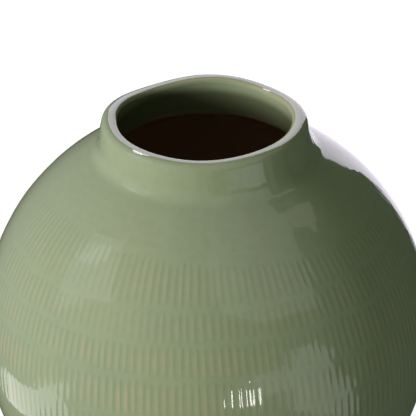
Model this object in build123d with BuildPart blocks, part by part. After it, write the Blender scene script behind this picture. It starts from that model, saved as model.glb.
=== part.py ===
from build123d import *

import math
import os

# A globular stoneware vase with a short collar and a rolled lip, in millimetres.
# +Z is up, the origin is the middle of the foot, and the foot stands on z = 0.
# Every piece is a turned shape, so each one is a half section revolved about Z.

# Globe
body_radius = 135.0  # outside of the glaze
wall = 6.5  # bare clay
glaze = 1.0

# Floor and foot
floor_thickness = 8.0
floor_corner_round = 22.0
foot_outer_radius = 60.0
foot_width = 9.0
foot_height = 10.0  # of the globe's clay above the table, at the foot's outer face
foot_edge_round = 1.6
bare_band = 2.0  # clay left bare between the foot and the edge of the glaze

# Collar and lip, bare clay
mouth_radius = 52.0
lip_width = 7.3
lip_inner_round = 1.8
lip_crest_width = 1.2  # level, between the lip's two rounds
throat_flare = 4.0  # wider at the collar's root than at the mouth, in radius
throat_root_round = 5.0
collar_height = 20.8  # from the globe to the lip's crest
collar_root_wall = 7.2
collar_root_round = 15.0

# Luted joints: a tongue in a groove with a layer of slip between
slip = 0.8
tongue_depth = 2.6
belly_joint_angle = 90.0  # from the upright axis, about the globe's centre
neck_joint_margin = 1.5  # of the joint outside the round at the collar's root
foot_tongue_width = 3.0
foot_tongue_height = 2.4

# Surfaces that the pieces share
clay_radius = body_radius - glaze
hollow_radius = clay_radius - wall
middle_radius = clay_radius - wall / 2
foot_inner_radius = foot_outer_radius - foot_width
centre_height = foot_height + math.sqrt(clay_radius**2 - foot_outer_radius**2)
underside_height = centre_height - math.sqrt(clay_radius**2 - foot_inner_radius**2)
floor_height = underside_height + floor_thickness
floor_radius = math.sqrt(hollow_radius**2 - (centre_height - floor_height) ** 2)
throat_root_radius = mouth_radius + throat_flare
collar_root_radius = throat_root_radius + collar_root_wall
collar_middle_radius = throat_root_radius + collar_root_wall / 2
collar_root_height = centre_height + math.sqrt(clay_radius**2 - collar_root_radius**2)
throat_root_height = centre_height + math.sqrt(hollow_radius**2 - throat_root_radius**2)
lip_height = collar_root_height + collar_height
lip_outer_radius = mouth_radius + lip_width
lip_outer_round = lip_width - lip_inner_round - lip_crest_width
crest_radius = mouth_radius + lip_inner_round + lip_crest_width / 2
neck_joint_radius = collar_root_radius + collar_root_round + neck_joint_margin
neck_joint_angle = math.degrees(math.asin(neck_joint_radius / clay_radius))
foot_tongue_radius = foot_outer_radius - foot_width / 2
foot_tongue_top = (
    centre_height
    - math.sqrt(clay_radius**2 - foot_tongue_radius**2)
    + foot_tongue_height
)


def globe_point(radius, angle):
    """The point of the section at this angle from the upright axis, about the globe's centre."""
    turn = math.radians(angle)
    return (radius * math.sin(turn), centre_height + radius * math.cos(turn))


def joint_points(angle, layers):
    """A luted joint's V line, from the hollow outwards, lowered by a number of slip layers."""
    return [
        globe_point(radius, angle + math.degrees((layers * slip + drop) / radius))
        for radius, drop in ((hollow_radius, 0), (middle_radius, tongue_depth), (clay_radius, 0))
    ]


def sector(upper_line, lower_line):
    """The part of the section between two joint lines, or between a line and the axis."""
    centre = (0, centre_height)
    far = 2 * body_radius
    start = math.degrees(math.atan2(upper_line[-1][0], upper_line[-1][1] - centre_height))
    end = math.degrees(math.atan2(lower_line[-1][0], lower_line[-1][1] - centre_height))
    around = [globe_point(far, start + (end - start) * share / 3) for share in range(4)]
    Polygon(
        centre, *upper_line, *around, *reversed(lower_line), align=None, mode=Mode.INTERSECT
    )


def globe(radius, mode):
    """The globe's full circle in the section, at this radius."""
    with Locations((0, centre_height)):
        Circle(radius, mode=mode)


def corner(section, across, height):
    """The corner of the section nearest to this point."""
    return section.vertices().sort_by_distance((across, height, 0))[0]


top_of_axis = [globe_point(clay_radius, 0)]
bottom_of_axis = [globe_point(clay_radius, 180)]
neck_upper_line = joint_points(neck_joint_angle, 0)
neck_lower_line = joint_points(neck_joint_angle, 1)
belly_upper_line = joint_points(belly_joint_angle, 0)
belly_lower_line = joint_points(belly_joint_angle, 1)

# The bare clay vessel without its foot, drawn once and cut into pieces at the joints
with BuildSketch(Plane.XZ) as vessel:
    with BuildLine():
        Polyline(
            (foot_inner_radius, underside_height),
            (0, underside_height),
            (0, floor_height),
            (floor_radius, floor_height),
        )
        ThreePointArc(
            (floor_radius, floor_height),
            globe_point(hollow_radius, belly_joint_angle),
            (throat_root_radius, throat_root_height),
        )
        Polyline(
            (throat_root_radius, throat_root_height),
            (mouth_radius, lip_height),
            (lip_outer_radius, lip_height),
            (collar_root_radius, collar_root_height),
        )
        ThreePointArc(
            (collar_root_radius, collar_root_height),
            globe_point(clay_radius, belly_joint_angle),
            (foot_inner_radius, underside_height),
        )
    make_face()
    fillet(corner(vessel, floor_radius, floor_height), floor_corner_round)
    fillet(corner(vessel, collar_root_radius, collar_root_height), collar_root_round)
    fillet(corner(vessel, throat_root_radius, throat_root_height), throat_root_round)
    fillet(corner(vessel, lip_outer_radius, lip_height), lip_outer_round)
    fillet(corner(vessel, mouth_radius, lip_height), lip_inner_round)

# The glaze all over the vessel, drawn once and parted inside the wall and at the lip's crest
with BuildSketch(Plane.XZ) as glaze_coat:
    add(vessel.sketch_local)
    offset(amount=glaze, mode=Mode.REPLACE)
    add(vessel.sketch_local, mode=Mode.SUBTRACT)

with BuildSketch(Plane.XZ) as inner_side:
    globe(middle_radius, Mode.ADD)
    with Locations((0, floor_height - floor_thickness / 2)):
        Rectangle(
            2 * body_radius, lip_height, align=(Align.CENTER, Align.MIN), mode=Mode.INTERSECT
        )
    Polygon(
        (0, throat_root_height),
        (collar_middle_radius, throat_root_height),
        (crest_radius, lip_height + 2 * glaze),
        (0, lip_height + 2 * glaze),
        align=None,
    )


def foot_tongue(clearance, mode):
    """The ring on top of the foot that keys into the floor, grown by a clearance."""
    with Locations((foot_tongue_radius, underside_height)):
        Rectangle(
            foot_tongue_width + 2 * clearance,
            foot_tongue_top - underside_height + clearance,
            align=(Align.CENTER, Align.MIN),
            mode=mode,
        )


def foot_blank():
    """The foot's width, from the table to above the globe's underside."""
    with Locations((foot_inner_radius, 0)):
        Rectangle(foot_width, foot_height + slip, align=(Align.MIN, Align.MIN))


# Foot: a turned ring with a tongue round its top
with BuildPart() as foot_ring:
    with BuildSketch(Plane.XZ) as foot_section:
        foot_blank()
        globe(clay_radius + slip, Mode.SUBTRACT)
        foot_tongue(0, Mode.ADD)
        fillet(corner(foot_section, foot_inner_radius, 0), foot_edge_round)
        fillet(corner(foot_section, foot_outer_radius, 0), foot_edge_round)
    revolve(axis=Axis.Z)

# Slip between the foot and the floor, round the tongue
with BuildPart() as foot_slip_seam:
    with BuildSketch(Plane.XZ):
        foot_blank()
        globe(clay_radius, Mode.SUBTRACT)
        foot_tongue(slip, Mode.ADD)
        globe(clay_radius + slip, Mode.INTERSECT)
        foot_tongue(0, Mode.SUBTRACT)
    revolve(axis=Axis.Z)

# Lower half of the globe, with the floor and the groove for the foot's tongue
with BuildPart() as lower_body:
    with BuildSketch(Plane.XZ):
        add(vessel.sketch_local)
        sector(belly_lower_line, bottom_of_axis)
        foot_tongue(slip, Mode.SUBTRACT)
    revolve(axis=Axis.Z)

# Slip in the belly joint
with BuildPart() as belly_slip_seam:
    with BuildSketch(Plane.XZ):
        add(vessel.sketch_local)
        sector(belly_upper_line, belly_lower_line)
    revolve(axis=Axis.Z)

# Upper half of the globe, from the belly to the collar
with BuildPart() as upper_body:
    with BuildSketch(Plane.XZ):
        add(vessel.sketch_local)
        sector(neck_lower_line, belly_upper_line)
    revolve(axis=Axis.Z)

# Slip in the neck joint
with BuildPart() as neck_slip_seam:
    with BuildSketch(Plane.XZ):
        add(vessel.sketch_local)
        sector(neck_upper_line, neck_lower_line)
    revolve(axis=Axis.Z)

# Collar with its flared root and rolled lip
with BuildPart() as neck_collar:
    with BuildSketch(Plane.XZ):
        add(vessel.sketch_local)
        sector(top_of_axis, neck_upper_line)
    revolve(axis=Axis.Z)

# Glaze outside, from the lip's crest down to the bare band above the foot
with BuildPart() as outer_glaze:
    with BuildSketch(Plane.XZ):
        add(glaze_coat.sketch_local)
        with Locations((0, foot_height + bare_band)):
            Rectangle(
                body_radius, 2 * lip_height, align=(Align.MIN, Align.MIN), mode=Mode.INTERSECT
            )
        add(inner_side.sketch_local, mode=Mode.SUBTRACT)
    revolve(axis=Axis.Z)

# Glaze inside, from the lip's crest down over the floor
with BuildPart() as liner_glaze:
    with BuildSketch(Plane.XZ):
        add(glaze_coat.sketch_local)
        Rectangle(body_radius, 2 * lip_height, align=(Align.MIN, Align.MIN), mode=Mode.INTERSECT)
        add(inner_side.sketch_local, mode=Mode.INTERSECT)
    revolve(axis=Axis.Z)

pieces = {
    "foot_ring": foot_ring,
    "foot_slip_seam": foot_slip_seam,
    "lower_body": lower_body,
    "belly_slip_seam": belly_slip_seam,
    "upper_body": upper_body,
    "neck_slip_seam": neck_slip_seam,
    "neck_collar": neck_collar,
    "outer_glaze": outer_glaze,
    "liner_glaze": liner_glaze,
}
os.makedirs("parts", exist_ok=True)
for label, piece in pieces.items():
    piece.part.label = label
    export_step(piece.part, f"parts/{label}.step")
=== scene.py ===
import math

import bpy
import numpy as np
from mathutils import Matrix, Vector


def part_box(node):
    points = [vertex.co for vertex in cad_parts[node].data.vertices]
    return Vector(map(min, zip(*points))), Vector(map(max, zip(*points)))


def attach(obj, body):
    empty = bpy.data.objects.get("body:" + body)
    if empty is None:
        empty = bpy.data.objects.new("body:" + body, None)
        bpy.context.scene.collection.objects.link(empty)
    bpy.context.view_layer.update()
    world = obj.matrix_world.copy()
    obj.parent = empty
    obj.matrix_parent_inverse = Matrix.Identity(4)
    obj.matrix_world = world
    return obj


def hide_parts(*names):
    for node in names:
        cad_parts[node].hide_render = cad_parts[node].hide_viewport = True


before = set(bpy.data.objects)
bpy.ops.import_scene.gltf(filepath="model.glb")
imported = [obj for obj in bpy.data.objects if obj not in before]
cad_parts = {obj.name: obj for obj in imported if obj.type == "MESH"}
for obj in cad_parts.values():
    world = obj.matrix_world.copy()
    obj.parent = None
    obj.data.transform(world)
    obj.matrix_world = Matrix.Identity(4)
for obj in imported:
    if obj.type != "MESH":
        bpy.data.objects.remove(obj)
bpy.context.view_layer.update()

# ---------------------------------------------------------------------------
# Sizes, in metres. The globe comes from the frame; the collar repeats the part's own sizes in
# clay, with the glaze laid over them.
# ---------------------------------------------------------------------------

GLAZE = 0.001
GLOBE_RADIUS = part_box("outer_glaze")[1].x
GLOBE_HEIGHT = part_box("belly_slip_seam")[1].z
LIP_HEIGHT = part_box("outer_glaze")[1].z
GLAZE_EDGE_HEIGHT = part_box("outer_glaze")[0].z
LINER_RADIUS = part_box("liner_glaze")[1].x - GLAZE
FLOOR_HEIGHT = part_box("liner_glaze")[0].z + GLAZE

MOUTH_RADIUS = 0.052 - GLAZE
LIP_WIDTH = 0.0073 + 2 * GLAZE
LIP_CREST_WIDTH = 0.0012
LIP_INNER_ROUND = 0.0018 + GLAZE
LIP_OUTER_ROUND = LIP_WIDTH - LIP_CREST_WIDTH - LIP_INNER_ROUND
THROAT_FLARE = 0.004
THROAT_ROOT_RADIUS = MOUTH_RADIUS + THROAT_FLARE
THROAT_ROOT_ROUND = 0.005 + GLAZE
COLLAR_ROOT_WALL = 0.0072 + 2 * GLAZE
COLLAR_ROOT_RADIUS = THROAT_ROOT_RADIUS + COLLAR_ROOT_WALL
COLLAR_ROOT_ROUND = 0.015 - GLAZE
FLOOR_CORNER_ROUND = 0.022 - GLAZE

# ---------------------------------------------------------------------------
# The glazed section, as a chain of arcs and straight runs from the glaze's edge above the foot,
# up the outside, over the lip and down the inside to the middle of the floor.
# ---------------------------------------------------------------------------

GLOBE_CENTRE = np.array([0.0, GLOBE_HEIGHT])


def vector(angle):
    """The unit vector (across, up) at this angle above the level."""
    return np.array([math.cos(angle), math.sin(angle)])


def angle_of(step):
    """The angle of a step (across, up) above the level."""
    return math.atan2(step[1], step[0])


def arc(centre, radius, start, end, side):
    """An arc of the section; side is 1 where the open air is outside the arc, -1 where inside."""
    return {"centre": np.array(centre), "radius": radius, "start": start, "end": end, "side": side}


def run(start, end):
    """A straight run of the section."""
    return {"from": np.array(start), "to": np.array(end)}


def length(piece):
    """The length of an arc or a run."""
    if "radius" in piece:
        return piece["radius"] * abs(piece["end"] - piece["start"])
    return float(np.linalg.norm(piece["to"] - piece["from"]))


def point_at(piece, along):
    """Points of a piece of the section and the directions into the open air there."""
    share = (along / length(piece))[:, None]
    if "radius" in piece:
        angle = piece["start"] + share * (piece["end"] - piece["start"])
        out = np.hstack([np.cos(angle), np.sin(angle)])
        return piece["centre"] + piece["radius"] * out, piece["side"] * out
    step = (piece["to"] - piece["from"]) / length(piece)
    out = np.array([step[1], -step[0]])
    return piece["from"] + share * (piece["to"] - piece["from"]), np.tile(out, (len(along), 1))


def beside(line_start, line_end, gap, reach):
    """The point at this gap to the right of a line and this reach from the globe's centre."""
    step = (line_end - line_start) / np.linalg.norm(line_end - line_start)
    base = line_start + gap * np.array([step[1], -step[0]]) - GLOBE_CENTRE
    along = -base @ step
    return GLOBE_CENTRE + base + step * (along + math.sqrt(along**2 - base @ base + reach**2))


def on_globe(reach, radius):
    """The upper point of a globe of this radius at this reach from the pot's axis."""
    return np.array([reach, GLOBE_HEIGHT + math.sqrt(radius**2 - reach**2)])


root = on_globe(COLLAR_ROOT_RADIUS, GLOBE_RADIUS)
throat = on_globe(THROAT_ROOT_RADIUS, LINER_RADIUS)
lip_outside = np.array([MOUTH_RADIUS + LIP_WIDTH, LIP_HEIGHT])
lip_inside = np.array([MOUTH_RADIUS, LIP_HEIGHT])
collar_tilt = angle_of(lip_outside - root) - math.pi / 2
throat_tilt = angle_of(throat - lip_inside) - math.pi / 2


def lip_centre(corner, foot_of_wall, tilt, radius):
    """Centre of the round that turns a wall into the level crest."""
    wall_step = (foot_of_wall - corner) / np.linalg.norm(foot_of_wall - corner)
    inwards = -vector(tilt)
    start = corner + radius * inwards
    return start + wall_step * (start[1] - (LIP_HEIGHT - radius)) / -wall_step[1]


def section():
    """All pieces of the glazed section, by the name of each stretch."""
    cove = beside(root, lip_outside, COLLAR_ROOT_ROUND, GLOBE_RADIUS + COLLAR_ROOT_ROUND)
    cove_start = angle_of(GLOBE_CENTRE - cove)
    outer = lip_centre(lip_outside, root, collar_tilt, LIP_OUTER_ROUND)
    inner = lip_centre(lip_inside, throat, throat_tilt, LIP_INNER_ROUND)
    shoulder = beside(throat, lip_inside, THROAT_ROOT_ROUND, LINER_RADIUS + THROAT_ROOT_ROUND)
    bowl_height = FLOOR_HEIGHT + FLOOR_CORNER_ROUND - GLOBE_HEIGHT
    bowl = GLOBE_CENTRE + np.array(
        [math.sqrt((LINER_RADIUS - FLOOR_CORNER_ROUND) ** 2 - bowl_height**2), bowl_height]
    )
    edge = -math.asin((GLOBE_HEIGHT - GLAZE_EDGE_HEIGHT) / GLOBE_RADIUS)
    pieces = {
        "globe": arc(GLOBE_CENTRE, GLOBE_RADIUS, edge, angle_of(cove - GLOBE_CENTRE), 1),
        "cove": arc(cove, COLLAR_ROOT_ROUND, cove_start + 2 * math.pi, math.pi + collar_tilt, -1),
        "lip_outer": arc(outer, LIP_OUTER_ROUND, collar_tilt, math.pi / 2, 1),
        "crest": run((outer[0], LIP_HEIGHT), (inner[0], LIP_HEIGHT)),
        "lip_inner": arc(inner, LIP_INNER_ROUND, math.pi / 2, math.pi * 2 + throat_tilt, 1),
        "throat_root": arc(
            shoulder,
            THROAT_ROOT_ROUND,
            math.pi * 2 + throat_tilt,
            angle_of(GLOBE_CENTRE - shoulder) + 2 * math.pi,
            1,
        ),
        "hollow": arc(
            GLOBE_CENTRE,
            LINER_RADIUS,
            angle_of(shoulder - GLOBE_CENTRE),
            angle_of(bowl - GLOBE_CENTRE),
            -1,
        ),
        "bowl": arc(bowl, FLOOR_CORNER_ROUND, angle_of(bowl - GLOBE_CENTRE), -math.pi / 2, -1),
        "floor": run((bowl[0], FLOOR_HEIGHT), (0.0, FLOOR_HEIGHT)),
    }
    # The two straight walls join the arcs on either side of them.
    for name, before, after in (
        ("collar", "cove", "lip_outer"),
        ("throat", "lip_inner", "throat_root"),
    ):
        start = point_at(pieces[before], np.array([length(pieces[before])]))[0][0]
        end = point_at(pieces[after], np.array([0.0]))[0][0]
        pieces[name] = run(start, end)
    return pieces


SECTION = section()

# ---------------------------------------------------------------------------
# Unevenness from the wheel and the hand
# ---------------------------------------------------------------------------

# The wander of the lip starts at one height on the pot and is whole at the other.
WANDER_HEIGHTS = (0.243, 0.262)
LIP_SHIFT = -0.0014
LIP_DROP = -0.00053
# waves round the lip, their height and their phase in degrees
LIP_WAVES = (
    (1, 0.00071, -43),
    (2, 0.00052, -4),
    (3, 0.00059, -144),
    (4, 0.00049, -34),
    (5, 0.00039, 79),
)
RING_DEPTH = 0.00002
RING_SPACING = 0.0062
RING_DRIFT = 0.6
SWELL_DEPTH = 0.00005
COLLAR_DEPTH = 0.00006
# the collar waves' unit of climb, and where each stretch of the collar starts in it
COLLAR_UNIT = 0.01
COLLAR_STARTS = {"cove": 0.0, "collar": 1.3, "lip_outer": 2.8}


def smooth(value, low, high):
    """0 below low, 1 above high, and a soft step between."""
    share = np.clip((value - low) / (high - low), 0.0, 1.0)
    return share * share * (3.0 - 2.0 * share)


def lip_rise(turns):
    """How far the hand-thrown lip stands above or below its true height."""
    rise = np.full(len(turns), LIP_DROP)
    for count, height, phase in LIP_WAVES:
        rise += height * np.cos(count * turns - math.radians(phase))
    return rise


def waves(seed, amount, counts, climbs):
    """A handful of soft waves that run round the pot and climb it."""
    draw = np.random.default_rng(seed)
    return [
        (draw.integers(*counts), draw.uniform(*climbs), draw.uniform(0, 2 * math.pi))
        for _ in range(amount)
    ]


def ripple(pattern, turns, climb):
    """The height of a pattern of waves, mostly between -1.5 and 1.5."""
    total = sum(np.cos(count * turns + rate * climb + phase) for count, rate, phase in pattern)
    return total / math.sqrt(len(pattern))


# seed, number of waves, range of crests round the pot, range of climb
SWELL = waves(11, 9, (5, 26), (-16.0, 16.0))
EDGE_WAVES = waves(12, 4, (2, 7), (0.0, 9.0))
RING_WAVES = waves(13, 3, (1, 4), (0.0, 6.0))
PATCH_WAVES = waves(15, 5, (2, 9), (0.0, 6.0))
COLLAR_WAVES = waves(14, 7, (30, 100), (-1.0, 1.0))


def globe_relief(turns, latitude):
    """Faint throwing rings and a soft swell in the glaze, as a height above the true globe."""
    drift = RING_DRIFT * ripple(RING_WAVES, turns, latitude)
    rings = np.cos(2 * math.pi * GLOBE_RADIUS * latitude / RING_SPACING + drift)
    return RING_DEPTH * rings + SWELL_DEPTH * ripple(SWELL, turns, latitude)


def collar_relief(name, along, turns):
    """Finger marks that climb the collar a little as they run round it."""
    climb = along / COLLAR_UNIT + COLLAR_STARTS[name]
    return COLLAR_DEPTH * ripple(COLLAR_WAVES, turns, climb)


# ---------------------------------------------------------------------------
# Rings of points, and the skins that they make
# ---------------------------------------------------------------------------

# What the glaze's colour follows: where it is thin, where it pools, and how far it is inside, which
# brings painted shade under the lip and iron brown deeper down.
CHANNELS = ("thin", "pool", "inside")
SHARP_ANGLE = math.radians(60)


def ring(name, along, turns, out=0.0, **channels):
    """One ring of points on a stretch of the section, lifted out of it by a height."""
    along = np.broadcast_to(np.asarray(along, float), turns.shape)
    flat, open_side = point_at(SECTION[name], along)
    flat = flat + np.broadcast_to(out, turns.shape)[:, None] * open_side
    lifted = smooth(flat[:, 1], *WANDER_HEIGHTS)
    points = np.column_stack(
        [
            flat[:, 0] * np.cos(turns) + lifted * LIP_SHIFT,
            flat[:, 0] * np.sin(turns),
            flat[:, 1] + lifted * lip_rise(turns),
        ]
    )
    values = {
        key: np.broadcast_to(np.asarray(channels.get(key, 0.0), float), turns.shape)
        for key in CHANNELS
    }
    return {"turns": turns, "points": points, **values}


def even_turns(count):
    """Angles at even steps round the pot."""
    return np.arange(count) * 2 * math.pi / count


def strip(first, second, first_index, second_index):
    """Faces between two rings, by each point's angle round the pot; a ring may be one point."""
    a, b = first["turns"], second["turns"]
    if len(a) == len(b) and np.abs(a - b).max() < math.pi / len(a):
        i = np.arange(len(a))
        j = (i + 1) % len(a)
        corners = [first_index + i, first_index + j, second_index + j, second_index + i]
        return np.column_stack(corners).tolist()
    faces = []
    i = j = 0
    steps_a = len(a) if len(a) > 1 else 0
    steps_b = len(b) if len(b) > 1 else 0
    while i < steps_a or j < steps_b:
        here_a = first_index + i % len(a)
        here_b = second_index + j % len(b)
        next_a = a[(i + 1) % len(a)] + 2 * math.pi * ((i + 1) // len(a))
        next_b = b[(j + 1) % len(b)] + 2 * math.pi * ((j + 1) // len(b))
        if j == steps_b or (i < steps_a and next_a <= next_b):
            faces.append([here_a, first_index + (i + 1) % len(a), here_b])
            i += 1
        else:
            faces.append([here_a, second_index + (j + 1) % len(b), here_b])
            j += 1
    return faces


def skin(name, rings, material):
    """A closed skin whose rings follow one another and meet again at the end."""
    starts = np.cumsum([0] + [len(r["turns"]) for r in rings])
    faces = []
    for k, start in enumerate(starts[:-1]):
        after = (k + 1) % len(rings)
        if len(rings[k]["turns"]) == 1 and len(rings[after]["turns"]) == 1:
            continue
        faces += strip(rings[k], rings[after], int(start), int(starts[after]))
    mesh = bpy.data.meshes.new(name)
    mesh.from_pydata(np.vstack([r["points"] for r in rings]).tolist(), [], faces)
    mesh.polygons.foreach_set("use_smooth", [True] * len(mesh.polygons))
    mesh.set_sharp_from_angle(angle=SHARP_ANGLE)
    for key in CHANNELS:
        values = np.concatenate([r[key] for r in rings]).astype(np.float32)
        mesh.attributes.new(key, "FLOAT", "POINT").data.foreach_set("value", values)
    mesh.materials.append(material)
    piece = bpy.data.objects.new(name, mesh)
    bpy.context.scene.collection.objects.link(piece)
    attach(piece, "root")
    return piece


# ---------------------------------------------------------------------------
# The fluted bands
# ---------------------------------------------------------------------------

GAP = math.radians(0.35)
EDGE_WOBBLE = 0.25
# The bands from the top down: the latitude of the upper edge and how far it tilts, in degrees,
# the flutes round the pot, how deep they are cut and how amber they are. The last is only an edge.
BANDS = (
    {"top": 44.8, "tilt": -2.6, "flutes": 148, "cut": 0.45, "amber": 0.45},
    {"top": 33.0, "tilt": 2.0, "flutes": 159, "cut": 0.5, "amber": 0.55},
    {"top": 24.6, "tilt": 2.0, "flutes": 172, "cut": 0.6, "amber": 0.8},
    {"top": 15.4, "tilt": 0.8, "flutes": 177, "cut": 0.9, "amber": 1.0},
    {"top": 5.0, "tilt": 2.3, "flutes": 180, "cut": 1.4, "amber": 1.0},
    {"top": -5.5, "tilt": 1.4, "flutes": 177, "cut": 1.0, "amber": 0.9},
    {"top": -16.5, "tilt": -0.9, "flutes": 167, "cut": 1.0, "amber": 0.9},
    {"top": -27.0, "tilt": 1.1, "flutes": 152, "cut": 0.9, "amber": 0.7},
    {"top": -37.5, "tilt": -0.7, "flutes": 132, "cut": 0.8, "amber": 0.6},
    {"top": -47.5, "tilt": 0.5},
)
# across the flute, height in depths, thin glaze, pooled glaze
FINE_FLUTE = (
    (0.00, -0.96, 0.0, 0.95),
    (0.14, -0.89, 0.0, 0.7),
    (0.32, -0.60, 0.2, 0.2),
    (0.50, -0.22, 0.75, 0.0),
    (0.67, 0.0, 1.0, 0.0),
    (0.80, -0.30, 0.45, 0.3),
    (0.91, -0.82, 0.0, 0.85),
)
PLAIN_FLUTE = (
    (0.02, -0.96, 0.0, 0.9),
    (0.22, -0.78, 0.05, 0.3),
    (0.46, -0.30, 0.6, 0.0),
    (0.66, 0.0, 1.0, 0.0),
    (0.79, -0.30, 0.45, 0.25),
    (0.91, -0.86, 0.0, 0.9),
)
# shares of the way up a flute where a ring lies
FINE_STEPS = (0.0, 0.05, 0.12, 0.28, 0.5, 0.7, 0.84, 0.91, 0.96, 1.0)
PLAIN_STEPS = (0.0, 0.09, 0.3, 0.65, 0.91, 1.0)
FINE_BANDS = 4

# How the hand cut them. Places and leans are shares of a flute's width, ends and fades are shares
# of its length.
FLUTE_SEED = 100
FLUTE_DEPTH = 0.00012
DEPTH_RANGE = (0.75, 1.15)
AMBER_RANGE = (0.6, 1.1)
PLACE_WOBBLE = 0.05
LEAN_WOBBLE = 0.05
LEAN = 0.22
BOW = 0.16
LOW_ENDS = (0.0, 0.08)
HIGH_ENDS = (0.0, 0.10)
CUT_FADES = ((-0.05, 0.12), (-0.02, 0.08))
AMBER_FADES = ((0.0, 0.28), (0.0, 0.42))
PATCH_CONTRAST = 0.45
PATCH_LIMITS = (0.2, 1.7)


def band_edge(number, turns):
    """The latitude of the smooth gap above a band, which the hand let wander."""
    band = BANDS[number]
    middle = band["top"] + band["tilt"] * np.cos(turns)
    return np.radians(middle + EDGE_WOBBLE * ripple(EDGE_WAVES, turns, number))


def cut_flutes(number):
    """The columns of points round a band, and how the flute of each was cut and glazed."""
    band = BANDS[number]
    profile = np.array(FINE_FLUTE if number < FINE_BANDS else PLAIN_FLUTE)
    across, each, count = profile[:, 0], len(profile), band["flutes"]
    draw = np.random.default_rng(FLUTE_SEED + number)
    starts = np.arange(count) + draw.normal(0, PLACE_WOBBLE, count)
    widths = np.diff(np.append(starts, starts[0] + count))
    turns = ((starts[:, None] + widths[:, None] * across) / count).ravel() * 2 * math.pi
    depth = np.repeat(draw.uniform(*DEPTH_RANGE, count), each) * band["cut"] * FLUTE_DEPTH
    low_end = np.repeat(draw.uniform(*LOW_ENDS, count), each)
    high_end = np.repeat(draw.uniform(*HIGH_ENDS, count), each)
    leans = draw.normal(0.0, LEAN_WOBBLE, count)
    lean = (leans[:, None] * (1.0 - across) + np.roll(leans, -1)[:, None] * across).ravel()
    patch = np.clip(1.0 + PATCH_CONTRAST * ripple(PATCH_WAVES, turns, number), *PATCH_LIMITS)
    amber = np.repeat(draw.uniform(*AMBER_RANGE, count), each) * band["amber"] * patch
    height, thin, pool = (np.tile(profile[:, k], count) for k in (1, 2, 3))
    return {
        "turns": turns,
        "lean": (lean - LEAN) * 2 * math.pi / count,
        "bow": BOW * 2 * math.pi / count,
        "low_end": low_end,
        "high_end": high_end,
        "height": depth * height,
        "thin": thin * amber,
        "pool": pool * np.sqrt(patch),
    }


def ends(inside, fades):
    """1 along a flute and 0 past its ends, with a soft step of its own at either end."""
    return smooth(inside, *fades[0]) * smooth(1.0 - inside, *fades[1])


def flute_rings(number):
    """The rings of one band of flutes, from its lower edge to its upper edge."""
    flutes = cut_flutes(number)
    rings = []
    for share in FINE_STEPS if number < FINE_BANDS else PLAIN_STEPS:
        rise = share - 0.5
        turns = flutes["turns"] + flutes["lean"] * rise + flutes["bow"] * rise**2
        low = band_edge(number + 1, turns) + GAP / 2
        high = band_edge(number, turns) - GAP / 2
        latitude = low + share * (high - low)
        inside = (share - flutes["low_end"]) / (1.0 - flutes["low_end"] - flutes["high_end"])
        cut = ends(inside, CUT_FADES)
        relief = flutes["height"] * cut + globe_relief(turns, latitude)
        thin = flutes["thin"] * ends(inside, AMBER_FADES)
        rings.append(globe_ring(turns, latitude, relief, thin, flutes["pool"] * cut))
    return rings


def globe_ring(turns, latitude, relief, thin=0.0, pool=0.0):
    """A ring on the globe at this latitude, which may differ from point to point."""
    start = SECTION["globe"]["start"]
    return ring("globe", GLOBE_RADIUS * (latitude - start), turns, relief, thin=thin, pool=pool)


# ---------------------------------------------------------------------------
# The two glaze skins and the clay collar under them
# ---------------------------------------------------------------------------

COLUMNS = 264
BACK_COLUMNS = 96
BACK_SPACING = 0.006
# Shares of a way where rings lie, and where the relief fades in or out: from the glaze's edge to
# the lowest band, and from the highest band to the cove.
FOOT_SHARES = np.linspace(0.12, 0.97, 9)
FOOT_FADE = (0.1, 0.3)
SHOULDER_SHARES = np.linspace(0.04, 1.0, 25, endpoint=False)
SHOULDER_FADE = (0.0, 0.2)
CLAY_SHARES = np.linspace(0.0, 1.0, 5, endpoint=False)
# The clay lies just under the glaze, so that the two never show through each other.
CLAY_DEPTH = 1.02 * GLAZE
# The glaze's edge above the foot: distances from it, and how far the skin is sunk, in glazes.
EDGE_ROLL = ((0.0, 0.9), (0.0003, 0.45), (0.0008, 0.15), (0.0016, 0.0))
COLLAR_SPACINGS = (("cove", 0.001), ("collar", 0.0012), ("lip_outer", 0.0007))
LINER_SPACINGS = (
    ("lip_inner", 0.0005),
    ("throat", 0.0018),
    ("throat_root", 0.0014),
    ("hollow", 0.014),
    ("bowl", 0.006),
    ("floor", 0.012),
)
# The hidden sides run back along these stretches, from one share of each to another.
OUTER_BACK = (
    ("crest", 0.5, 0.0),
    ("lip_outer", 1.0, 0.0),
    ("collar", 1.0, 0.0),
    ("cove", 1.0, 0.0),
    ("globe", 1.0, 0.0),
)
LINER_BACK = (
    ("floor", 0.95, 0.0),
    ("bowl", 1.0, 0.0),
    ("hollow", 1.0, 0.0),
    ("throat_root", 1.0, 0.0),
    ("throat", 1.0, 0.0),
    ("lip_inner", 1.0, 0.0),
    ("crest", 1.0, 0.5),
)


def steps(name, spacing):
    """Distances along a stretch, without its end, at about this spacing."""
    whole = length(SECTION[name])
    amount = max(1, round(whole / spacing))
    return np.arange(amount) * whole / amount


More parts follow.
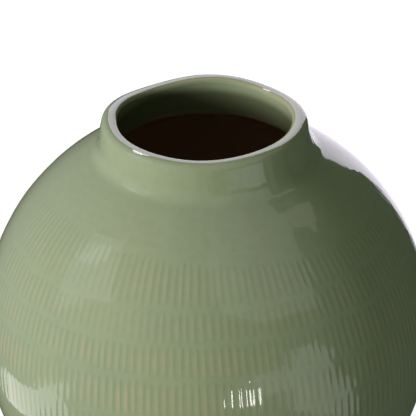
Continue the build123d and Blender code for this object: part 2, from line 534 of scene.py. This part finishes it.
def outer_rings():
    """The outer skin, from the glaze's edge over the bands and the collar to the crest, and back."""
    turns = even_turns(COLUMNS)
    globe = SECTION["globe"]
    rings = [ring("globe", along, turns, -GLAZE * share) for along, share in EDGE_ROLL]
    lowest = band_edge(len(BANDS) - 1, turns)
    for share in FOOT_SHARES:
        latitude = globe["start"] + share * (lowest - globe["start"])
        relief = smooth(share, *FOOT_FADE) * globe_relief(turns, latitude)
        rings.append(globe_ring(turns, latitude, relief))
    for number in reversed(range(len(BANDS) - 1)):
        rings += flute_rings(number)
    highest = band_edge(0, turns)
    for share in SHOULDER_SHARES:
        latitude = highest + share * (globe["end"] - highest)
        relief = smooth(1.0 - share, *SHOULDER_FADE) * globe_relief(turns, latitude)
        rings.append(globe_ring(turns, latitude, relief))
    for name, spacing in COLLAR_SPACINGS:
        for along in steps(name, spacing):
            share = along / length(SECTION[name])
            relief_share = {"cove": share, "collar": 1.0, "lip_outer": 1.0 - share}[name]
            relief = relief_share * collar_relief(name, along, turns)
            rings.append(ring(name, along, turns, relief))
    rings += [ring("crest", share * length(SECTION["crest"]), turns) for share in (0.0, 0.5)]
    rings += back_rings(OUTER_BACK)
    rings.append(ring("globe", 0.0, even_turns(BACK_COLUMNS), -GLAZE))
    return rings


def back_rings(stretches):
    """The hidden side of a skin, which lies on the clay."""
    turns = even_turns(BACK_COLUMNS)
    rings = []
    for name, start, end in stretches:
        whole = length(SECTION[name])
        amount = max(2, round(abs(start - end) * whole / BACK_SPACING))
        for share in np.linspace(start, end, amount + 1)[:-1]:
            rings.append(ring(name, share * whole, turns, -GLAZE))
    return rings


# depths under the lip between which the liner takes a painted shade of dark green, and then its iron
# brown
SHADE_PAINTED_BELOW = (0.003, 0.013)
IRON_BELOW = (0.021, 0.029)
LINER_WOBBLE = 0.0012
# the thin line over the lip's inner edge: how thin, where on the round, and how wide
LIP_LINE = 1.9
LIP_LINE_PLACE = 0.35
LIP_LINE_WIDTH = 0.13


def inner_ring(name, along, turns):
    """A ring of the liner, thin over the lip's inner edge, with painted shade just under the lip and
    iron brown below the throat.
    """
    made = ring(name, along, turns)
    below = LIP_HEIGHT - made["points"][:, 2] + LINER_WOBBLE * ripple(EDGE_WAVES, turns, 3.0)
    # painted shade under the lip in the first half, the liner's own iron brown in the second
    made["inside"] = 0.5 * smooth(below, *SHADE_PAINTED_BELOW) + 0.5 * smooth(below, *IRON_BELOW)
    if name == "lip_inner":
        share = along / length(SECTION[name])
        line = LIP_LINE * math.exp(-(((share - LIP_LINE_PLACE) / LIP_LINE_WIDTH) ** 2))
        made["thin"] = np.full(len(turns), line)
    return made


def inner_rings():
    """The liner's skin, from the crest down over the floor to its middle, and back."""
    turns = even_turns(COLUMNS)
    crest = length(SECTION["crest"])
    rings = [inner_ring("crest", share * crest, turns) for share in (0.5, 0.95)]
    for name, spacing in LINER_SPACINGS:
        rings += [inner_ring(name, along, turns) for along in steps(name, spacing)]
    single = np.zeros(1)
    whole = length(SECTION["floor"])
    rings.append(ring("floor", whole, single, inside=1.0))
    rings.append(ring("floor", whole, single, -GLAZE))
    return rings + back_rings(LINER_BACK)


def clay_rings():
    """The clay of the collar, just inside the glaze all round, with the same wander as the lip."""
    turns = even_turns(BACK_COLUMNS)
    rings = []
    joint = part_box("neck_collar")[0].z - GLOBE_HEIGHT
    outside = GLOBE_RADIUS * (math.asin(joint / (GLOBE_RADIUS - GLAZE)) - SECTION["globe"]["start"])
    inside = LINER_RADIUS * (SECTION["hollow"]["start"] - math.asin(joint / LINER_RADIUS))
    rings.append(ring("globe", outside, turns, -CLAY_DEPTH))
    for name in ("cove", "collar", "lip_outer", "crest", "lip_inner", "throat", "throat_root"):
        whole = length(SECTION[name])
        for share in CLAY_SHARES:
            rings.append(ring(name, share * whole, turns, -CLAY_DEPTH))
    rings.append(ring("hollow", 0.0, turns, -CLAY_DEPTH))
    rings.append(ring("hollow", inside, turns, -CLAY_DEPTH))
    return rings


# ---------------------------------------------------------------------------
# Materials
# ---------------------------------------------------------------------------


class Graph:
    """A material's nodes, made one call at a time."""

    def __init__(self, name):
        self.material = bpy.data.materials.new(name)
        self.material.use_nodes = True
        self.tree = self.material.node_tree
        self.tree.nodes.clear()
        self.shader = self.add("BsdfPrincipled")
        output = self.add("OutputMaterial")
        self.tree.links.new(self.shader.outputs["BSDF"], output.inputs["Surface"])

    def add(self, kind, **settings):
        """A new shader node with these settings."""
        node = self.tree.nodes.new("ShaderNode" + kind)
        for key, value in settings.items():
            setattr(node, key, value)
        return node

    def feed(self, socket, value):
        """Puts a number, a colour or another node's output into a socket."""
        if isinstance(value, bpy.types.NodeSocket):
            self.tree.links.new(value, socket)
        else:
            socket.default_value = value

    def noise(self, scale, detail=2.0, rough=0.5):
        """Noise in the object's own space, in lumps per metre."""
        made = self.add("TexNoise")
        where = self.add("TexCoord")
        self.feed(made.inputs["Vector"], where.outputs["Object"])
        made.inputs["Scale"].default_value = scale
        made.inputs["Detail"].default_value = detail
        made.inputs["Roughness"].default_value = rough
        return made.outputs["Fac"]

    def channel(self, name):
        """One of the skin's own channels, as painted on its points."""
        return self.add("Attribute", attribute_name=name).outputs["Fac"]

    def span(self, value, low, high, start=0.0, end=1.0):
        """Value, stretched so that low gives start and high gives end."""
        made = self.add("MapRange", interpolation_type="SMOOTHSTEP")
        for socket, number in zip(made.inputs, (value, low, high, start, end)):
            self.feed(socket, number)
        return made.outputs["Result"]

    def times(self, first, second):
        """The product of two numbers or outputs."""
        made = self.add("Math", operation="MULTIPLY")
        self.feed(made.inputs[0], first)
        self.feed(made.inputs[1], second)
        return made.outputs[0]

    def mix(self, share, first, second):
        """The first colour at share 0 and the second at 1."""
        made = self.add("Mix", data_type="RGBA")
        self.feed(made.inputs["Factor"], share)
        self.feed(made.inputs[6], first)
        self.feed(made.inputs[7], second)
        return made.outputs[2]

    def bump(self, height, depth, below=None):
        """A fine texture of this depth in metres, laid over another where one is given."""
        made = self.add("Bump")
        made.inputs["Distance"].default_value = depth
        self.feed(made.inputs["Height"], height)
        if below is not None:
            self.feed(made.inputs["Normal"], below)
        return made.outputs["Normal"]


GLAZE_IOR = 1.5
CELADON = (0.350, 0.402, 0.222, 1.0)
CELADON_COOL = (0.322, 0.392, 0.226, 1.0)
CELADON_DEEP = (0.215, 0.285, 0.135, 1.0)
AMBER = (0.485, 0.415, 0.240, 1.0)
IRON = (0.070, 0.045, 0.022, 1.0)
# painted shade: the inner wall just under the lip is darkened in its colour as if in shadow
SHADE_PAINTED_LINER = (0.130, 0.150, 0.075, 1.0)
IRON_LINER = (0.500, 0.330, 0.200, 1.0)
BUFF_CLAY = (0.430, 0.345, 0.245, 1.0)
TOASTED_CLAY = (0.300, 0.205, 0.125, 1.0)
SLIP_PALE = (0.500, 0.430, 0.330, 1.0)
SLIP_GREY = (0.360, 0.310, 0.245, 1.0)


def celadon_glaze():
    """Glossy sage glaze: amber where thin, deeper where it pools, iron-flecked, with painted shade on
    the inner wall under the lip and brown far inside.
    """
    g = Graph("celadon_glaze")
    colour = g.mix(g.span(g.noise(16.0, 3.0), 0.35, 0.65), CELADON, CELADON_COOL)
    colour = g.mix(g.span(g.noise(220.0, 2.0), 0.3, 0.8, 0.0, 0.14), colour, CELADON_DEEP)
    thin = g.times(g.channel("thin"), g.span(g.noise(90.0), 0.3, 0.6, 0.3, 0.6))
    colour = g.mix(thin, colour, AMBER)
    colour = g.mix(g.times(g.channel("pool"), 0.28), colour, CELADON_DEEP)
    colour = g.mix(g.span(g.noise(1500.0, 1.0), 0.74, 0.8, 0.0, 0.5), colour, IRON)
    # painted shade on the inner wall under the lip, then the liner's own iron brown further down
    colour = g.mix(g.span(g.channel("inside"), 0.0, 0.5), colour, SHADE_PAINTED_LINER)
    colour = g.mix(g.span(g.channel("inside"), 0.5, 1.0), colour, IRON_LINER)
    g.feed(g.shader.inputs["Base Color"], colour)
    g.feed(g.shader.inputs["Roughness"], g.span(g.noise(60.0, 3.0), 0.3, 0.75, 0.03, 0.09))
    g.shader.inputs["IOR"].default_value = GLAZE_IOR
    g.feed(g.shader.inputs["Normal"], g.bump(g.noise(420.0, 1.0), 0.00001))
    return g.material


def stoneware():
    """Bare fired clay: buff, toasted in patches, with grog and iron specks."""
    g = Graph("stoneware")
    colour = g.mix(g.span(g.noise(30.0, 4.0), 0.4, 0.7), BUFF_CLAY, TOASTED_CLAY)
    colour = g.mix(g.span(g.noise(900.0, 1.0), 0.66, 0.74, 0.0, 0.8), colour, IRON)
    g.feed(g.shader.inputs["Base Color"], colour)
    g.feed(g.shader.inputs["Roughness"], g.span(g.noise(200.0), 0.3, 0.7, 0.78, 0.95))
    fine = g.bump(g.noise(1600.0, 3.0, 0.7), 0.00015)
    g.feed(g.shader.inputs["Normal"], g.bump(g.noise(300.0), 0.0003, fine))
    return g.material


def slip_clay():
    """The creamy slip that was brushed into each joint."""
    g = Graph("slip")
    colour = g.mix(g.span(g.noise(60.0, 3.0), 0.35, 0.7), SLIP_PALE, SLIP_GREY)
    g.feed(g.shader.inputs["Base Color"], colour)
    g.feed(g.shader.inputs["Roughness"], g.span(g.noise(250.0), 0.3, 0.7, 0.7, 0.88))
    g.feed(g.shader.inputs["Normal"], g.bump(g.noise(700.0, 2.0), 0.00012))
    return g.material


GLAZE_MATERIAL = celadon_glaze()
CLAY_MATERIAL = stoneware()
SLIP_MATERIAL = slip_clay()

outer = skin("outer_glaze_skin", outer_rings(), GLAZE_MATERIAL)
liner = skin("liner_glaze_skin", inner_rings(), GLAZE_MATERIAL)
collar = skin("neck_collar_clay", clay_rings(), CLAY_MATERIAL)
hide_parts("outer_glaze")
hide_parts("liner_glaze")
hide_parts("neck_collar")

for node, material in (
    ("foot_ring", CLAY_MATERIAL),
    ("lower_body", CLAY_MATERIAL),
    ("upper_body", CLAY_MATERIAL),
    ("foot_slip_seam", SLIP_MATERIAL),
    ("belly_slip_seam", SLIP_MATERIAL),
    ("neck_slip_seam", SLIP_MATERIAL),
):
    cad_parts[node].data.materials.clear()
    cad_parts[node].data.materials.append(material)

# ---------------------------------------------------------------------------
# Stage, lights and camera
# ---------------------------------------------------------------------------

CENTRE = np.array([0.0, 0.0, GLOBE_HEIGHT])
FLOOR_REACH = 60.0
FLOOR_GLOW = 0.86
FLOOR_GREY = (0.5, 0.5, 0.5)
CARD_DISTANCE = 8.0
GLINT_DISTANCE = 1.0
WHITE = (1.0, 1.0, 1.0)


def direction(azimuth, elevation):
    """A direction from the pot; azimuth 0 is straight behind it and 90 is to its right."""
    level = math.cos(math.radians(elevation))
    turn = math.radians(azimuth)
    rise = math.sin(math.radians(elevation))
    return np.array([level * math.sin(turn), level * math.cos(turn), rise])


def glow(name, colour, strength, diffuse=None):
    """A glowing material, which also takes light and shadow where a diffuse colour is given."""
    material = bpy.data.materials.new(name)
    material.use_nodes = True
    tree = material.node_tree
    tree.nodes.clear()
    light = tree.nodes.new("ShaderNodeEmission")
    light.inputs["Color"].default_value = (*colour, 1.0)
    light.inputs["Strength"].default_value = strength
    output = tree.nodes.new("ShaderNodeOutputMaterial")
    surface = light.outputs[0]
    if diffuse is not None:
        matt = tree.nodes.new("ShaderNodeBsdfDiffuse")
        matt.inputs["Color"].default_value = (*diffuse, 1.0)
        both = tree.nodes.new("ShaderNodeAddShader")
        tree.links.new(light.outputs[0], both.inputs[0])
        tree.links.new(matt.outputs[0], both.inputs[1])
        surface = both.outputs[0]
    tree.links.new(surface, output.inputs["Surface"])
    return material


def fade(material, low, low_strength, high, high_strength):
    """Makes a glow grow evenly with height."""
    tree = material.node_tree
    where = tree.nodes.new("ShaderNodeTexCoord")
    split = tree.nodes.new("ShaderNodeSeparateXYZ")
    tree.links.new(where.outputs["Object"], split.inputs[0])
    ramp = tree.nodes.new("ShaderNodeMapRange")
    for socket, value in zip(list(ramp.inputs)[1:5], (low, high, low_strength, high_strength)):
        socket.default_value = value
    tree.links.new(split.outputs["Z"], ramp.inputs[0])
    light = next(node for node in tree.nodes if node.type == "EMISSION")
    tree.links.new(ramp.outputs[0], light.inputs["Strength"])


def sheet_of(name, corners, material):
    """A flat sheet of the stage, which neither casts shadows nor lights the pot's own colour."""
    mesh = bpy.data.meshes.new(name)
    mesh.from_pydata([tuple(c) for c in corners], [], [tuple(range(len(corners)))])
    mesh.materials.append(material)
    made = bpy.data.objects.new(name, mesh)
    bpy.context.scene.collection.objects.link(made)
    made.visible_diffuse = False
    made.visible_shadow = False
    return made


def card(name, corners, strength, colour=WHITE, distance=CARD_DISTANCE, fades_down_to=None):
    """A flat studio card that shows only in the glaze, by the directions of its corners."""
    rays = np.array([direction(*corner) for corner in corners])
    facing = rays.mean(axis=0) / np.linalg.norm(rays.mean(axis=0))
    points = CENTRE + distance * rays / (rays @ facing)[:, None]
    material = glow(name, colour, strength)
    if fades_down_to is not None:
        fade(material, points[:, 2].min(), fades_down_to, points[:, 2].max(), strength)
    made = sheet_of(name, points, material)
    made.visible_camera = False


floor = sheet_of(
    "floor",
    [(x * FLOOR_REACH, y * FLOOR_REACH, 0.0) for x, y in ((-1, -1), (1, -1), (1, 1), (-1, 1))],
    glow("floor_white", WHITE, FLOOR_GLOW, FLOOR_GREY),
)
floor.visible_glossy = False

# The cards' corners are (azimuth, elevation) in degrees, seen from the pot's middle. Each card
# stands for something bright in the studio: the backdrop, the sky over it, walls and windows.
card(
    "backdrop_card",
    ((-14, 44), (30, 44), (28, 18), (29.5, 11), (28.5, 6), (26.5, 1), (24, -4), (23, -11),
     (21.5, -18), (16, -25), (8, -31), (-1, -35), (-1, 8), (-13, 16)),
    4.1,
    (0.92, 0.87, 1.0),
    fades_down_to=0.72,
)
card(
    "skylight_card",
    ((17, 83), (74, 77), (72, 63), (80, 58), (67, 51), (61, 42), (81, 41), (86, 52), (96, 49),
     (105, 40), (110, 33), (115, 21), (132, 25), (150, 26), (168, 32), (178, 47), (177, 73)),
    0.6,
    (1.0, 0.98, 0.94),
)
card(
    "right_card",
    ((136, 9), (127, 9), (116, 1), (116, -10), (106, -17), (101, -32), (135, -24), (143, -6)),
    1.0,
)
card(
    "left_card",
    ((-49, -30), (-79, -28), (-92, -22), (-107, -15), (-103, -31), (-62, -38), (-48, -36)),
    2.0,
)
card(
    "window_card",
    ((-82, 39), (-103, 50), (-123, 29), (-96, 9), (-90, 15), (-84, 28)),
    1.3,
    (0.86, 0.96, 1.0),
)
card("window_core_card", ((-86, 30), (-94, 44), (-100, 38), (-92, 24)), 2.4, (0.9, 0.97, 1.0))
card(
    "strip_card",
    ((160, -3), (163, -3), (164, -11), (159, -11)),
    20.0,
    distance=GLINT_DISTANCE,
)
card("lip_card", ((-54, 51), (-31, 49), (-18, 44), (-18, 51), (-31, 55), (-54, 57)), 12.0)
card("haze_card", ((142, 4), (158, 4), (158, -9), (142, -9)), 0.7)

ROOM_FACES = (-80, 35)
ROOM_TURNS_BRIGHT = -0.1
ROOM_DIM = (0.042, 0.060, 0.036, 1.0)
ROOM_BRIGHT = (0.53, 0.53, 0.53, 1.0)


def world_light():
    """White where the camera looks, and a dim room that is bright on the left for everything else."""
    world = bpy.data.worlds.new("studio")
    bpy.context.scene.world = world
    world.use_nodes = True
    world.node_tree.nodes.clear()
    new, link = world.node_tree.nodes.new, world.node_tree.links.new
    where = new("ShaderNodeTexCoord")
    facing = new("ShaderNodeVectorMath")
    facing.operation = "DOT_PRODUCT"
    facing.inputs[1].default_value = tuple(direction(*ROOM_FACES))
    link(where.outputs["Generated"], facing.inputs[0])
    amount = new("ShaderNodeMapRange")
    amount.interpolation_type = "SMOOTHSTEP"
    amount.inputs["From Min"].default_value = ROOM_TURNS_BRIGHT
    link(facing.outputs["Value"], amount.inputs["Value"])
    tint = new("ShaderNodeMix")
    tint.data_type = "RGBA"
    tint.inputs[6].default_value = ROOM_DIM
    tint.inputs[7].default_value = ROOM_BRIGHT
    link(amount.outputs[0], tint.inputs["Factor"])
    room = new("ShaderNodeBackground")
    link(tint.outputs[2], room.inputs["Color"])
    white = new("ShaderNodeBackground")
    white.inputs["Color"].default_value = (*WHITE, 1.0)
    path = new("ShaderNodeLightPath")
    both = new("ShaderNodeMixShader")
    link(path.outputs["Is Camera Ray"], both.inputs[0])
    link(room.outputs[0], both.inputs[1])
    link(white.outputs[0], both.inputs[2])
    output = new("ShaderNodeOutputWorld")
    link(both.outputs[0], output.inputs["Surface"])


world_light()

# name, direction that it shines from, strength, colour, width in degrees
LAMPS = (
    ("key", (-95, 11), 0.92, (1.0, 0.92, 1.15), 10),
    ("front_left", (-135, 9), 1.33, (1.0, 0.99, 1.03), 10),
    ("bounce", (-170, -5), 0.56, (1.0, 0.97, 1.08), 20),
    ("far_right", (60, -20), 0.42, (0.97, 0.98, 1.15), 30),
)
for name, source, strength, colour, width in LAMPS:
    lamp_data = bpy.data.lights.new(name, "SUN")
    lamp_data.energy = strength
    lamp_data.color = colour
    lamp_data.angle = math.radians(width)
    lamp = bpy.data.objects.new(name, lamp_data)
    bpy.context.scene.collection.objects.link(lamp)
    lamp.rotation_euler = Vector(direction(*source)).to_track_quat("Z", "Y").to_euler()
    lamp.visible_glossy = False

# The camera looks down at the pot from in front, turned up a little so that the picture cuts
# the pot off below; angles are in degrees.
CAMERA_DISTANCE = 2.4
CAMERA_RISE = 30.0
CAMERA_LIFT = 1.663
CAMERA_TURN = -0.017
VIEW_ANGLE = 6.006
FARTHEST_SEEN = 200.0

camera_data = bpy.data.cameras.new("camera")
camera_data.angle = math.radians(VIEW_ANGLE)
camera_data.clip_end = FARTHEST_SEEN
camera = bpy.data.objects.new("camera", camera_data)
bpy.context.scene.collection.objects.link(camera)
camera.location = CENTRE + CAMERA_DISTANCE * direction(180, CAMERA_RISE)
camera_pitch = math.radians(90 - CAMERA_RISE + CAMERA_LIFT)
camera.rotation_euler = (camera_pitch, 0, math.radians(CAMERA_TURN))
bpy.context.scene.camera = camera
bpy.context.scene.view_settings.view_transform = "Standard"
